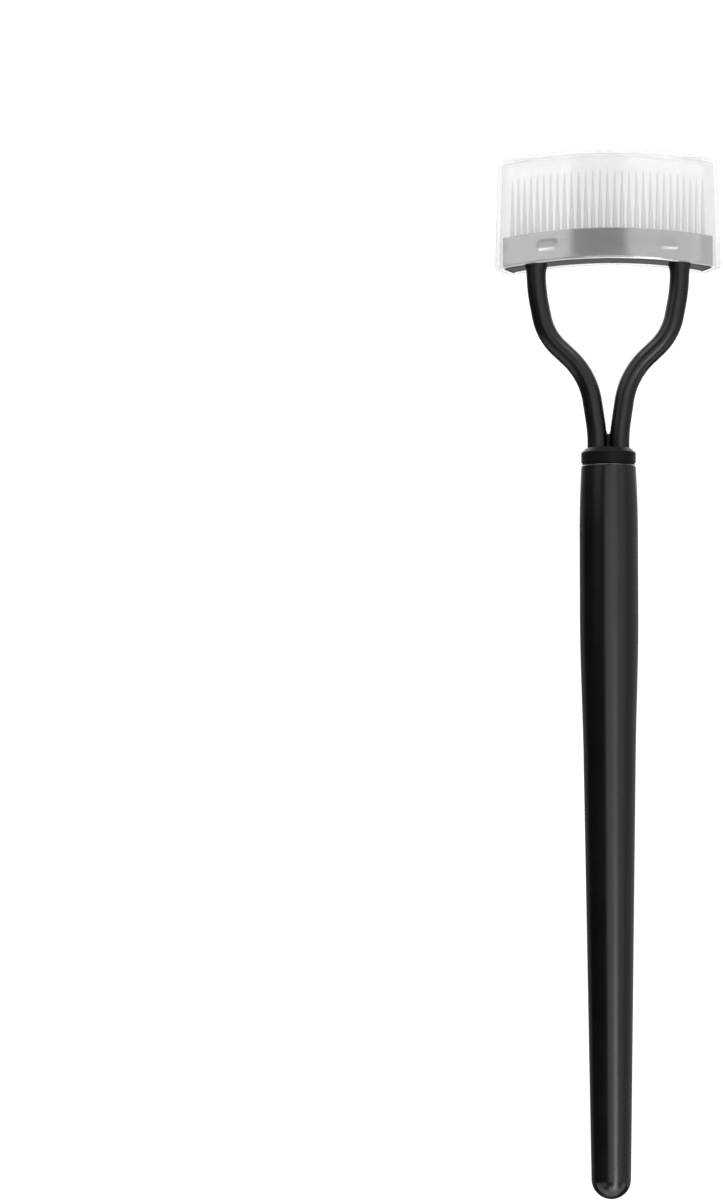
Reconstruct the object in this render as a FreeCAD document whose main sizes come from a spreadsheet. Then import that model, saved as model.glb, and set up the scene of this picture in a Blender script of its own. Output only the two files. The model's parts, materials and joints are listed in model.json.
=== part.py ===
import FreeCAD, Part
import math
import os
import Sketcher
from FreeCAD import Placement, Rotation, Vector

# Lash comb with a clear cap: a tapered handle, a collar, two bent wire arms and a
# curved steel head whose needles stand in a folded channel.
# Millimetres. +Z runs up the handle to the head, -Y is the side the head bulges to.
# The origin is the middle of the cylindrical grip of the handle.

doc = FreeCAD.newDocument("LashComb")
sheet = doc.addObject("Spreadsheet::Sheet", "Dimensions")

# Every driving dimension, by its alias in the sheet.
size = {
    # handle, heights above the tip of its tail
    "handleLength": 83.3,
    "gripHeight": 70.6,
    "barrelRadius": 3.33,
    "barrelBottom": 66.0,
    "barrelTop": 75.2,
    "mouthRadius": 3.12,
    "mouthChamfer": 0.12,
    "waistHeight": 60.0,
    "stemHeight": 50.0,
    "stemRadius": 2.97,
    "tailRadius": 2.24,
    "boreRadius": 2.42,
    "boreDepth": 9.5,
    # collar, heights above the mouth of the handle
    "collarRadius": 3.12,
    "collarTopRadius": 2.52,
    "collarHeight": 1.87,
    "collarShoulder": 1.3,
    "neckRadius": 3.0,
    "neckHeight": 0.22,
    "spigotRadius": 2.4,
    "spigotLength": 9.0,
    "webWidth": 0.28,
    "webDepth": 1.7,
    "webHeight": 2.05,
    # wire arms, heights above the top of the collar
    "wireRadius": 1.12,
    "footX": 1.28,
    "footBend": 1.92,
    "footBendRadius": 16.0,
    "flareX": 2.26,
    "flareHeight": 8.47,
    "flareRadius": 8.8,
    "shoulderX": 7.15,
    "shoulderHeight": 13.1,
    "shoulderRadius": 6.7,
    "tipBend": 18.52,
    "tipBendRadius": 20.0,
    "forkX": 8.2,
    "forkHeight": 21.08,
    "footTenonRadius": 0.85,
    "footTenonLength": 7.0,
    "headTenonRadius": 0.6,
    "headTenonLength": 1.1,
    "tenonHoleGap": 0.02,
    # head, heights above the underside of the channel, angles in degrees
    "headTilt": 8.5,
    "combRadius": 19.8,
    "channelDepth": 2.3,
    "channelHeight": 3.7,
    "channelHalfAngle": 34.9,
    "sheetThickness": 0.35,
    "foldRadius": 0.3,
    "crimpAngle": 19.4,
    "crimpHeight": 2.1,
    "crimpLength": 2.6,
    "crimpWidth": 1.3,
    "crimpDepth": 0.18,
    "stripHeight": 2.85,
    "stripHalfAngle": 34.6,
    "stripGap": 0.02,
    # needles
    "needleCount": 29,
    "needlePitch": 2.4,
    "needleBase": 1.3,
    "needleLength": 9.5,
    "needleRadius": 0.29,
    "shankLength": 2.6,
    "needleTipRadius": 0.08,
    "needleTipLength": 0.1,
    # clear cap, heights above its rim, draft in degrees
    "capHeight": 13.2,
    "capWall": 0.5,
    "capGap": 0.15,
    "capRimX": 13.33,
    "capDraft": 1.2,
    "capTopRound": 0.8,
    "capEndStep": 0.75,
}

for row, (alias, value) in enumerate(size.items(), start=1):
    sheet.set("A%d" % row, alias)
    sheet.set("B%d" % row, str(value))
    sheet.setAlias("B%d" % row, alias)
doc.recompute()

dim = "Dimensions."
zeroLength = "0"
parts = []


# ---------- helpers ----------

def makeBody(label):
    """A body whose own name and label are the name of the piece."""
    body = doc.addObject("PartDesign::Body", label)
    body.Label = label
    parts.append(body)
    return body


def makeSketch(body, name, role="XY_Plane", offset=None):
    """A sketch on one of the body's own origin planes, moved by an attachment offset."""
    plane = [f for f in body.Origin.OriginFeatures if f.Role == role][0]
    sketch = body.newObject("Sketcher::SketchObject", body.Name + "_" + name)
    sketch.AttachmentSupport = [(plane, "")]
    sketch.MapMode = "FlatFace"
    if offset:
        sketch.AttachmentOffset = offset
    return sketch


def bindConstraint(sketch, index, name, expression):
    """Name a constraint and drive it by an expression on the sheet."""
    sketch.renameConstraint(index, name)
    sketch.setExpression("Constraints." + name, expression)


def fixPoint(sketch, geometry, end, name, x, y):
    """Hold one end of an edge at a place. x and y are (value, expression) pairs."""
    for kind, (value, expression) in (("DistanceX", x), ("DistanceY", y)):
        index = sketch.addConstraint(Sketcher.Constraint(kind, -1, 1, geometry, end, value))
        bindConstraint(sketch, index, name + kind[-1], expression)


def cell(alias, sign=1):
    """Value and expression of one cell, or of its negative."""
    if alias is None:
        return 0.0, zeroLength
    return sign * size[alias], ("-" if sign < 0 else "") + dim + alias


def outline(sketch, corners):
    """Closed outline of straight edges through corners, each an (x cell, y cell) pair."""
    points = [Vector(x[0], y[0], 0) for x, y in corners]
    for here, after in zip(points, points[1:] + points[:1]):
        sketch.addGeometry(Part.LineSegment(here, after))
    count = len(points)
    for edge in range(count):
        sketch.addConstraint(Sketcher.Constraint("Coincident", edge, 2, (edge + 1) % count, 1))
        fixPoint(sketch, edge, 1, "p%d" % edge, *corners[edge])


def addArc(sketch, start, middle, end):
    """Add the arc through three points. Returns its number and those of its start and end."""
    through = Part.Arc(start, middle, end).toShape().Curve
    centre = through.Center
    first, last = [math.atan2(p.y - centre.y, p.x - centre.x) for p in (start, end)]
    turnsLeft = (middle - start).cross(end - middle).z > 0
    if not turnsLeft:
        first, last = last, first
    if last < first:
        last += 2 * math.pi
    whole = Part.Circle(centre, Vector(0, 0, 1), through.Radius)
    number = sketch.addGeometry(Part.ArcOfCircle(whole, first, last))
    return number, ((1, 2) if turnsLeft else (2, 1))


def sector(sketch, outer, inner, halfX):
    """Curved slot about the sketch's origin, bulging to -Y, closed by two radial ends.

    outer and inner are the radii, and halfX is how far the outer corners stand from
    the middle, all as (value, expression) pairs.
    """
    half = math.asin(halfX[0] / outer[0])
    low = -math.pi / 2 - half
    high = -math.pi / 2 + half
    centre = Vector(0, 0, 0)
    axis = Vector(0, 0, 1)
    reach = [Vector(math.cos(a), math.sin(a), 0) for a in (low, high)]
    sketch.addGeometry(Part.ArcOfCircle(Part.Circle(centre, axis, outer[0]), low, high))
    sketch.addGeometry(Part.ArcOfCircle(Part.Circle(centre, axis, inner[0]), low, high))
    sketch.addGeometry(Part.LineSegment(reach[0] * inner[0], reach[0] * outer[0]))
    sketch.addGeometry(Part.LineSegment(reach[1] * inner[0], reach[1] * outer[0]))
    for arc, radius, name in ((0, outer, "outer"), (1, inner, "inner")):
        sketch.addConstraint(Sketcher.Constraint("Coincident", arc, 3, -1, 1))
        index = sketch.addConstraint(Sketcher.Constraint("Radius", arc, radius[0]))
        bindConstraint(sketch, index, name, radius[1])
    for line, end in ((2, 1), (3, 2)):
        sketch.addConstraint(Sketcher.Constraint("Coincident", 1, end, line, 1))
        sketch.addConstraint(Sketcher.Constraint("Coincident", 0, end, line, 2))
        sketch.addConstraint(Sketcher.Constraint("PointOnObject", -1, 1, line))
    index = sketch.addConstraint(Sketcher.Constraint("DistanceX", 0, 1, -1, 1, halfX[0]))
    bindConstraint(sketch, index, "leftReach", halfX[1])
    index = sketch.addConstraint(Sketcher.Constraint("DistanceX", -1, 1, 0, 2, halfX[0]))
    bindConstraint(sketch, index, "rightReach", halfX[1])


def circle(sketch, radius, x=(0.0, zeroLength), y=(0.0, zeroLength)):
    """A full circle, with its radius and centre bound to the sheet."""
    number = sketch.addGeometry(Part.Circle(Vector(x[0], y[0], 0), Vector(0, 0, 1), radius[0]))
    index = sketch.addConstraint(Sketcher.Constraint("Radius", number, radius[0]))
    bindConstraint(sketch, index, "radius%d" % number, radius[1])
    fixPoint(sketch, number, 3, "centre%d" % number, x, y)


def extrude(body, kind, sketch, length, name, upward=None):
    """A Pad or Pocket of a sketch, its length bound to the sheet."""
    feature = body.newObject("PartDesign::" + kind, body.Name + "_" + name)
    feature.Profile = sketch
    feature.setExpression("Length", length)
    if upward is not None:
        feature.Reversed = upward if kind == "Pocket" else not upward
    sketch.Visibility = False
    doc.recompute()
    return feature


def revolve(body, sketch, name):
    """A full turn of a sketch about its own vertical axis."""
    feature = body.newObject("PartDesign::Revolution", body.Name + "_" + name)
    feature.Profile = sketch
    feature.ReferenceAxis = (sketch, ["V_Axis"])
    feature.Angle = 360
    doc.recompute()
    return feature


def checkedVolume(body, before, smaller):
    """Stop if the last cut or addition changed nothing."""
    after = body.Shape.Volume
    if (after >= before - 1e-6) if smaller else (after <= before + 1e-6):
        raise RuntimeError("%s: the last feature changed nothing" % body.Label)
    return after


def placeAlong(thing, height):
    """Stand a piece upright on the handle's axis, height being an expression."""
    thing.setExpression("Placement.Base.z", "%s - %sgripHeight" % (height, dim))


headZ = "(Dimensions.handleLength + Dimensions.collarHeight + Dimensions.forkHeight)"
arcY = "sqrt(Dimensions.combRadius ^ 2 - Dimensions.forkX ^ 2)"
tilt = "(Dimensions.headTilt * 1 deg)"


def placeInHead(thing, x, y, z):
    """Place a piece in the head's leaning frame, whose origin is midway between the arms."""
    thing.Placement = Placement(Vector(), Rotation(Vector(-1, 0, 0), size["headTilt"]))
    thing.setExpression("Placement.Rotation.Angle", "Dimensions.headTilt * 1 deg")
    thing.setExpression("Placement.Base.x", x)
    thing.setExpression("Placement.Base.y", "(%s) * cos(%s) + (%s) * sin(%s)" % (y, tilt, z, tilt))
    thing.setExpression("Placement.Base.z", "%s - Dimensions.gripHeight - (%s) * sin(%s) + (%s) * cos(%s)"
                        % (headZ, y, tilt, z, tilt))


# ---------- handle ----------

def makeHandle():
    """Turned handle: round tail, long taper, waist, straight grip and a mouth with a bore."""
    body = makeBody("handle")
    sketch = makeSketch(body, "profile", "XZ_Plane")
    tail = size["tailRadius"]
    stem = Vector(size["stemRadius"], size["stemHeight"], 0)
    taper = (stem.x - tail) / (stem.y - tail)
    waistRun = size["waistHeight"] - size["stemHeight"]
    barrelRun = size["barrelBottom"] - size["waistHeight"]
    steepest = (2 * (size["barrelRadius"] - stem.x) - taper * waistRun) / (waistRun + barrelRun)
    waist = Vector(stem.x + (taper + steepest) / 2 * waistRun, size["waistHeight"], 0)
    barrelLow = Vector(size["barrelRadius"], size["barrelBottom"], 0)
    barrelHigh = Vector(size["barrelRadius"], size["barrelTop"], 0)
    mouthOut = Vector(size["mouthRadius"], size["handleLength"] - size["mouthChamfer"], 0)
    mouthIn = Vector(size["mouthRadius"] - size["mouthChamfer"], size["handleLength"], 0)
    top = Vector(0, size["handleLength"], 0)
    touch = Vector(tail * math.cos(taper), tail * (1 - math.sin(taper)), 0)

    ends = []

    def addLine(start, end):
        sketch.addGeometry(Part.LineSegment(start, end))
        ends.append((1, 2))

    def addCurve(start, end, bulge):
        """Arc whose middle stands off its chord by bulge, away from the axis."""
        ends.append(addArc(sketch, start, (start + end) / 2 + Vector(bulge, 0, 0), end)[1])

    tip = Vector(0, 0, 0)
    ends.append(addArc(sketch, tip, Vector(0, tail, 0) + Vector(1, -1, 0).normalize() * tail, touch)[1])
    addLine(touch, stem)
    addCurve(stem, waist, -(steepest - taper) * waistRun / 8)
    addCurve(waist, barrelLow, steepest * barrelRun / 8)
    addLine(barrelLow, barrelHigh)
    addCurve(barrelHigh, mouthOut, (size["barrelRadius"] - size["mouthRadius"]) / 4)
    addLine(mouthOut, mouthIn)
    addLine(mouthIn, top)
    addLine(top, tip)

    smooth = (0, 1, 2, 3, 4)
    for edge in range(len(ends)):
        after = (edge + 1) % len(ends)
        kind = "Tangent" if edge in smooth else "Coincident"
        sketch.addConstraint(Sketcher.Constraint(kind, edge, ends[edge][1], after, ends[after][0]))
    sketch.addConstraint(Sketcher.Constraint("Coincident", 0, 1, -1, 1))
    sketch.addConstraint(Sketcher.Constraint("PointOnObject", 0, 3, -2))
    index = sketch.addConstraint(Sketcher.Constraint("Radius", 0, tail))
    bindConstraint(sketch, index, "tailRadius", dim + "tailRadius")
    fixPoint(sketch, 1, 2, "stem", cell("stemRadius"), cell("stemHeight"))
    index = sketch.addConstraint(Sketcher.Constraint("DistanceY", -1, 1, 3, 1, waist.y))
    bindConstraint(sketch, index, "waistHeight", dim + "waistHeight")
    fixPoint(sketch, 4, 1, "barrelLow", cell("barrelRadius"), cell("barrelBottom"))
    index = sketch.addConstraint(Sketcher.Constraint("DistanceY", -1, 1, 4, 2, barrelHigh.y))
    bindConstraint(sketch, index, "barrelTop", dim + "barrelTop")
    mouthHeight = (mouthOut.y, "Dimensions.handleLength - Dimensions.mouthChamfer")
    fixPoint(sketch, 6, 1, "mouthOut", cell("mouthRadius"), mouthHeight)
    mouthReach = (mouthIn.x, "Dimensions.mouthRadius - Dimensions.mouthChamfer")
    fixPoint(sketch, 6, 2, "mouthIn", mouthReach, cell("handleLength"))
    fixPoint(sketch, 8, 1, "top", cell(None), cell("handleLength"))
    revolve(body, sketch, "turned")

    volume = body.Shape.Volume
    mouth = makeSketch(body, "bore", offset=Placement(Vector(0, 0, size["handleLength"]), Rotation()))
    mouth.setExpression("AttachmentOffset.Base.z", dim + "handleLength")
    circle(mouth, cell("boreRadius"))
    extrude(body, "Pocket", mouth, dim + "boreDepth", "boreCut", upward=False)
    checkedVolume(body, volume, smaller=True)
    placeAlong(body, zeroLength)
    return body


# ---------- collar ----------

def makeCollar():
    """Turned collar with a spigot in the handle, two holes for the arms and a web between them."""
    body = makeBody("collar")
    profile = makeSketch(body, "profile", "XZ_Plane")
    outline(profile, [
        (cell(None), cell("spigotLength", -1)),
        (cell("spigotRadius"), cell("spigotLength", -1)),
        (cell("spigotRadius"), cell(None)),
        (cell("neckRadius"), cell(None)),
        (cell("neckRadius"), cell("neckHeight")),
        (cell("collarRadius"), cell("neckHeight")),
        (cell("collarRadius"), cell("collarShoulder")),
        (cell("collarTopRadius"), cell("collarHeight")),
        (cell(None), cell("collarHeight")),
    ])
    revolve(body, profile, "turned")
    volume = body.Shape.Volume

    onTop = Placement(Vector(0, 0, size["collarHeight"]), Rotation())
    holes = makeSketch(body, "holes", offset=onTop)
    holes.setExpression("AttachmentOffset.Base.z", dim + "collarHeight")
    holeRadius = (size["footTenonRadius"] + size["tenonHoleGap"],
                  "Dimensions.footTenonRadius + Dimensions.tenonHoleGap")
    for side in (-1, 1):
        circle(holes, holeRadius, cell("footX", side))
    depth = "Dimensions.footTenonLength + 10 * Dimensions.tenonHoleGap"
    extrude(body, "Pocket", holes, depth, "holesCut", upward=False)
    volume = checkedVolume(body, volume, smaller=True)

    web = makeSketch(body, "web", offset=onTop)
    web.setExpression("AttachmentOffset.Base.z", dim + "collarHeight")
    halfX = {s: (s * size["webWidth"] / 2, "%d * Dimensions.webWidth / 2" % s) for s in (-1, 1)}
    halfY = {s: (s * size["webDepth"] / 2, "%d * Dimensions.webDepth / 2" % s) for s in (-1, 1)}
    outline(web, [(halfX[i], halfY[j]) for i, j in ((-1, -1), (1, -1), (1, 1), (-1, 1))])
    extrude(body, "Pad", web, dim + "webHeight", "webPad", upward=True)
    checkedVolume(body, volume, smaller=False)
    placeAlong(body, dim + "handleLength")
    return body


# ---------- arms ----------

def makeArm(label, side):
    """Bent wire from the collar to the channel, with a turned tenon at each end.

    The wire runs in the plane of the fork: upright at the foot, flared outwards,
    then upright again under the head. Its top is cut to the lean of the channel.
    """
    body = makeBody(label)
    corners = [
        (cell("footX", side), cell("footBend"), "footBendRadius"),
        (cell("flareX", side), cell("flareHeight"), "flareRadius"),
        (cell("shoulderX", side), cell("shoulderHeight"), "shoulderRadius"),
        (cell("forkX", side), cell("tipBend"), "tipBendRadius"),
    ]
    ends = [(cell("footX", side), cell(None)), (cell("forkX", side), None)]
    spare = 2 * size["wireRadius"] * math.tan(math.radians(size["headTilt"]))
    ends[1] = (ends[1][0], (size["forkHeight"] + spare,
                            "Dimensions.forkHeight + 2 * Dimensions.wireRadius * tan(%s)" % tilt))

    path = makeSketch(body, "path", "XZ_Plane")
    route = [Vector(ends[0][0][0], 0, 0)]
    route += [Vector(x[0], y[0], 0) for x, y, radius in corners]
    route += [Vector(ends[1][0][0], ends[1][1][0], 0)]
    start = route[0]
    lines = []
    arcs = []
    for before, corner, after, item in zip(route, route[1:], route[2:], corners):
        radius = size[item[2]]
        arrive = (corner - before).normalize()
        leave = (after - corner).normalize()
        turn = arrive.getAngle(leave)
        reach = radius * math.tan(turn / 2)
        first = corner - arrive * reach
        last = corner + leave * reach
        middle = corner + (leave - arrive).normalize() * (radius / math.cos(turn / 2) - radius)
        lines.append(path.addGeometry(Part.LineSegment(start, first)))
        arcs.append(addArc(path, first, middle, last))
        start = last
    lines.append(path.addGeometry(Part.LineSegment(start, route[-1])))

    for number, ((arc, (enter, depart)), item) in enumerate(zip(arcs, corners)):
        path.addConstraint(Sketcher.Constraint("Tangent", lines[number], 2, arc, enter))
        path.addConstraint(Sketcher.Constraint("Tangent", arc, depart, lines[number + 1], 1))
        index = path.addConstraint(Sketcher.Constraint("Radius", arc, size[item[2]]))
        bindConstraint(path, index, "bend%d" % number, dim + item[2])
        point = path.addGeometry(Part.Point(route[number + 1]), True)
        path.addConstraint(Sketcher.Constraint("PointOnObject", point, 1, lines[number]))
        path.addConstraint(Sketcher.Constraint("PointOnObject", point, 1, lines[number + 1]))
        fixPoint(path, point, 1, "corner%d" % number, item[0], item[1])
    fixPoint(path, lines[0], 1, "foot", *ends[0])
    fixPoint(path, lines[-1], 2, "top", *ends[1])

    section = makeSketch(body, "section")
    circle(section, cell("wireRadius"), cell("footX", side))
    pipe = body.newObject("PartDesign::AdditivePipe", label + "_wire")
    pipe.Profile = section
    pipe.Spine = (path, [])
    doc.recompute()
    volume = body.Shape.Volume

    seat = Placement(Vector(0, 0, size["forkHeight"]), Rotation(Vector(-1, 0, 0), size["headTilt"]))
    trim = makeSketch(body, "trim", offset=seat)
    trim.setExpression("AttachmentOffset.Base.z", dim + "forkHeight")
    trim.setExpression("AttachmentOffset.Rotation.Angle", "Dimensions.headTilt * 1 deg")
    circle(trim, (2 * size["wireRadius"], "2 * Dimensions.wireRadius"), cell("forkX", side))
    extrude(body, "Pocket", trim, "4 * Dimensions.wireRadius", "trimCut", upward=True)
    volume = checkedVolume(body, volume, smaller=True)

    tenon = makeSketch(body, "headTenon", offset=seat)
    tenon.setExpression("AttachmentOffset.Base.z", dim + "forkHeight")
    tenon.setExpression("AttachmentOffset.Rotation.Angle", "Dimensions.headTilt * 1 deg")
    circle(tenon, cell("headTenonRadius"), cell("forkX", side))
    extrude(body, "Pad", tenon, dim + "headTenonLength", "headTenonPad", upward=True)
    volume = checkedVolume(body, volume, smaller=False)

    foot = makeSketch(body, "footTenon")
    circle(foot, cell("footTenonRadius"), cell("footX", side))
    extrude(body, "Pad", foot, dim + "footTenonLength", "footTenonPad", upward=False)
    checkedVolume(body, volume, smaller=False)
    placeAlong(body, "Dimensions.handleLength + Dimensions.collarHeight")
    return body


# ---------- head ----------

def bandRadii(depth, change):
    """Outer and inner radius of a band about the comb's arc, moved by an allowance.

    depth and change are (value, expression) pairs; the band is depth + 2 * change deep.
    """
    radius = size["combRadius"]
    half = depth[0] / 2 + change[0]
    words = "(%s / 2 + %s)" % (depth[1], change[1])
    outer = (radius + half, "Dimensions.combRadius + " + words)
    inner = (radius - half, "Dimensions.combRadius - " + words)
    return outer, inner


def reachOf(outer, angleCell):
    """How far a band's outer corner stands from the middle, at an angle of the sheet."""
    return (outer[0] * math.sin(math.radians(size[angleCell])),
            "(%s) * sin(Dimensions.%s * 1 deg)" % (outer[1], angleCell))


def addTenonHoles(body, name, bottom, depth):
    """Cut the two round holes for the arms' upper tenons, upwards from a height."""
    sketch = makeSketch(body, name, offset=Placement(Vector(0, 0, bottom[0]), Rotation()))
    sketch.setExpression("AttachmentOffset.Base.z", bottom[1])
    radius = (size["headTenonRadius"] + size["tenonHoleGap"],
              "Dimensions.headTenonRadius + Dimensions.tenonHoleGap")
    y = (-math.sqrt(size["combRadius"] ** 2 - size["forkX"] ** 2), "-" + arcY)
    for side in (-1, 1):
        circle(sketch, radius, cell("forkX", side), y)
    volume = body.Shape.Volume
    extrude(body, "Pocket", sketch, depth, name + "Cut", upward=True)
    checkedVolume(body, volume, smaller=True)


def addCrimps(body):
    """Press two oblong crimps into each wall, one pair on the bulging side and one behind."""
    outer, inner = bandRadii(cell("channelDepth"), (0.0, zeroLength))
    halfWidth = (size["crimpWidth"] / 2, "Dimensions.crimpWidth / 2")
    halfRun = ((size["crimpLength"] - size["crimpWidth"]) / 2,
               "(Dimensions.crimpLength - Dimensions.crimpWidth) / 2")
    for wall, radius, sign in (("front", outer, 1), ("back", inner, -1)):
        floor = (radius[0] - sign * size["crimpDepth"],
                 "%s - %d * Dimensions.crimpDepth" % (radius[1], sign))
        for side in (-1, 1):
            name = "%sCrimp%s" % (wall, "Right" if side > 0 else "Left")
            angle = math.radians(side * size["crimpAngle"])
            turned = Placement(Vector(floor[0] * math.sin(angle), 0, floor[0] * math.cos(angle)),
                               Rotation(Vector(0, 1, 0), side * size["crimpAngle"]))
            sketch = makeSketch(body, name, "XZ_Plane", turned)
            turn = "(%d * Dimensions.crimpAngle * 1 deg)" % side
            sketch.setExpression("AttachmentOffset.Base.x", "(%s) * sin(%s)" % (floor[1], turn))
            sketch.setExpression("AttachmentOffset.Base.z", "(%s) * cos(%s)" % (floor[1], turn))
            obround(sketch, halfRun, halfWidth, cell("crimpHeight"))
            volume = body.Shape.Volume
            extrude(body, "Pocket", sketch, "3 * Dimensions.crimpDepth", name + "Cut", upward=sign > 0)
            checkedVolume(body, volume, smaller=True)


def obround(sketch, halfRun, halfWidth, height):
    """Oblong outline, level, about a point at a height on the sketch's vertical axis."""
    up = Vector(0, halfWidth[0], 0)
    left = Vector(-halfRun[0], height[0], 0)
    right = Vector(halfRun[0], height[0], 0)
    outwards = Vector(halfWidth[0], 0, 0)
    ends = [addArc(sketch, left + up, left - outwards, left - up)[1]]
    ends.append(addArc(sketch, right - up, right + outwards, right + up)[1])
    sketch.addGeometry(Part.LineSegment(left - up, right - up))
    sketch.addGeometry(Part.LineSegment(right + up, left + up))
    for arc, arcEnd, line, lineEnd in ((0, 1, 2, 1), (1, 0, 2, 2), (1, 1, 3, 1), (0, 0, 3, 2)):
        sketch.addConstraint(Sketcher.Constraint("Tangent", arc, ends[arc][arcEnd], line, lineEnd))
    index = sketch.addConstraint(Sketcher.Constraint("Radius", 0, halfWidth[0]))
    bindConstraint(sketch, index, "halfWidth", halfWidth[1])
    fixPoint(sketch, 0, 3, "left", (-halfRun[0], "-" + halfRun[1]), height)
    fixPoint(sketch, 1, 3, "right", halfRun, height)


def filletEdges(body, name, radius, wanted):
    """Round the edges of the body's shape that a test picks."""
    names = ["Edge%d" % (i + 1) for i, edge in enumerate(body.Shape.Edges) if wanted(edge)]
    base = body.Tip
    fillet = body.newObject("PartDesign::Fillet", body.Name + "_" + name)
    fillet.Base = (base, names)
    fillet.setExpression("Radius", radius)
    doc.recompute()


def makeChannel():
    """Folded steel channel: floor and two curved walls, with crimps and tenon holes."""
    body = makeBody("channel")
    noChange = (0.0, zeroLength)
    outer, inner = bandRadii(cell("channelDepth"), noChange)
    plan = makeSketch(body, "plan")
    sector(plan, outer, inner, reachOf(outer, "channelHalfAngle"))
    extrude(body, "Pad", plan, dim + "channelHeight", "blank", upward=True)

    def isFoldEdge(edge):
        box = edge.BoundBox
        return box.ZMax < 1e-6 and box.XLength > size["combRadius"]

    filletEdges(body, "fold", dim + "foldRadius", isFoldEdge)
    volume = body.Shape.Volume
    wall = cell("sheetThickness", -1)
    slotOuter, slotInner = bandRadii(cell("channelDepth"), wall)
    floorTop = Placement(Vector(0, 0, size["sheetThickness"]), Rotation())
    slot = makeSketch(body, "slot", offset=floorTop)
    slot.setExpression("AttachmentOffset.Base.z", dim + "sheetThickness")
    beyond = (slotOuter[0] * math.sin(math.radians(size["channelHalfAngle"] + 1)),
              "(%s) * sin((Dimensions.channelHalfAngle + 1) * 1 deg)" % slotOuter[1])
    sector(slot, slotOuter, slotInner, beyond)
    extrude(body, "Pocket", slot, dim + "channelHeight", "slotCut", upward=True)
    checkedVolume(body, volume, smaller=True)
    addTenonHoles(body, "tenonHoles", (-size["sheetThickness"], "-Dimensions.sheetThickness"),
                  "3 * Dimensions.sheetThickness")
    addCrimps(body)
    placeInHead(body, zeroLength, arcY, zeroLength)
    return body


def needleAngle(number):
    """Expression of a needle's angle from the middle of the comb."""
    return "((%d - Dimensions.needleCount / 2 - 0.5) * Dimensions.needlePitch * 1 deg)" % number


def makeStrip():
    """Strip that fills the channel, with a hole for every needle and for the tenons."""
    body = makeBody("needle_strip")
    change = (-size["sheetThickness"] - size["stripGap"],
              "(-Dimensions.sheetThickness - Dimensions.stripGap)")
    outer, inner = bandRadii(cell("channelDepth"), change)
    plan = makeSketch(body, "plan")
    sector(plan, outer, inner, reachOf(outer, "stripHalfAngle"))
    extrude(body, "Pad", plan, dim + "stripHeight", "blank", upward=True)
    volume = body.Shape.Volume

    holeFloor = "Dimensions.needleBase - Dimensions.sheetThickness"
    onFloor = Placement(Vector(0, 0, size["needleBase"] - size["sheetThickness"]), Rotation())
    hole = makeSketch(body, "needleHole", offset=onFloor)
    hole.setExpression("AttachmentOffset.Base.z", holeFloor)
    spread = math.radians((size["needleCount"] - 1) / 2 * size["needlePitch"])
    x = (-size["combRadius"] * math.sin(spread), "Dimensions.combRadius * sin(%s)" % needleAngle(1))
    y = (-size["combRadius"] * math.cos(spread), "-Dimensions.combRadius * cos(%s)" % needleAngle(1))
    radius = (size["needleRadius"] + size["stripGap"] / 2,
              "Dimensions.needleRadius + Dimensions.stripGap / 2")
    circle(hole, radius, x, y)
    first = extrude(body, "Pocket", hole, dim + "stripHeight", "needleHoleCut", upward=True)
    volume = checkedVolume(body, volume, smaller=True)

    pattern = body.newObject("PartDesign::PolarPattern", "needle_strip_pattern")
    pattern.Originals = [first]
    pattern.Axis = (hole, ["N_Axis"])
    pattern.setExpression("Angle", "(Dimensions.needleCount - 1) * Dimensions.needlePitch * 1 deg")
    pattern.setExpression("Occurrences", dim + "needleCount")
    body.Tip = pattern
    doc.recompute()
    checkedVolume(body, volume, smaller=True)
    addTenonHoles(body, "tenonHoles", (-size["sheetThickness"], "-Dimensions.sheetThickness"),
                  "Dimensions.headTenonLength + 2 * Dimensions.tenonHoleGap")
    placeInHead(body, zeroLength, arcY, dim + "sheetThickness")
    return body


def makeNeedle(number):
    """One turned steel needle: a short straight shank and a long taper to a blunt tip."""
    body = makeBody("needle_%02d" % number)
    profile = makeSketch(body, "profile", "XZ_Plane")
    blunt = (size["needleTipRadius"] / 2, "Dimensions.needleTipRadius / 2")
    taperTop = (size["needleLength"] - size["needleTipLength"],
                "Dimensions.needleLength - Dimensions.needleTipLength")
    outline(profile, [
        (cell(None), cell(None)),
        (cell("needleRadius"), cell(None)),
        (cell("needleRadius"), cell("shankLength")),
        (cell("needleTipRadius"), taperTop),
        (blunt, cell("needleLength")),
        (cell(None), cell("needleLength")),
    ])
    revolve(body, profile, "turned")
    angle = needleAngle(number)
    placeInHead(body, "Dimensions.combRadius * sin(%s)" % angle,
                "%s - Dimensions.combRadius * cos(%s)" % (arcY, angle), dim + "needleBase")
    return body


# ---------- cap ----------

def capSection(wallShare):
    """Radii and end reach of the cap at its rim: wallShare is 1 outside the wall, 0 inside."""
    change = (size["capGap"] + wallShare * size["capWall"],
              "Dimensions.capGap + %d * Dimensions.capWall" % wallShare)
    outer, inner = bandRadii(cell("channelDepth"), change)
    inside = 1 - wallShare
    reach = (size["capRimX"] - inside * size["capEndStep"],
             "Dimensions.capRimX - %d * Dimensions.capEndStep" % inside)
    return outer, inner, reach


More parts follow.
